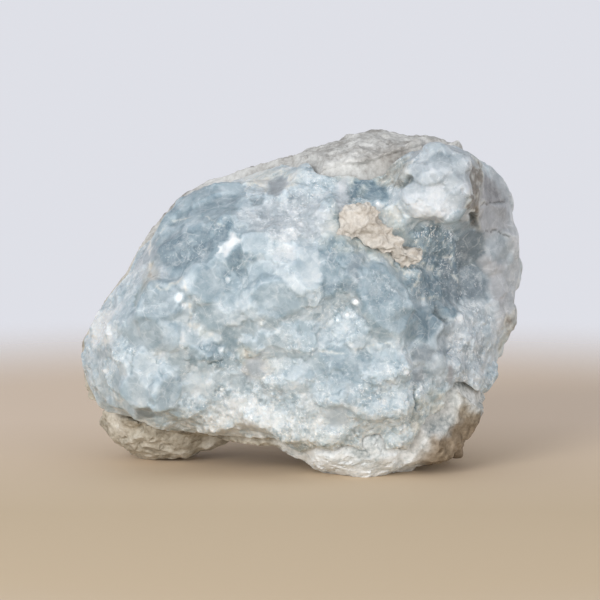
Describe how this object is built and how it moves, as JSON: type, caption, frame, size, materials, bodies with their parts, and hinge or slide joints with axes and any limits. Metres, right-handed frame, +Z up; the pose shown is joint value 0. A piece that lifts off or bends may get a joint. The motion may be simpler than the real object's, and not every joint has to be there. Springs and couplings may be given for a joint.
{
  "type": "celestite geode",
  "caption": "Broken piece of a celestite geode: pale blue blocky crystals grown over one side of rough cream host rock, with a patch of dried clay, resting on rock feet.",
  "frame": {"origin": "middle of the bounding box in plan, on the surface that the geode stands on", "axes": "+Z up, +X along the width; the crystal face looks towards -Y and the bare rock is the back"},
  "size_m": [0.0924, 0.0648, 0.0689],
  "materials": {
    "host_rock": "rough, grainy marly limestone, cream to olive grey, with dark pits",
    "celestite": "milky pale blue crystals, glassy on their flat faces, sugary white between them",
    "clay": "dry, matte, sandy tan clay"
  },
  "bodies": {
    "root": {"host_rock": "host_rock", "crystal_lining": "celestite", "clay_residue": "clay"}
  },
  "joints": []
}
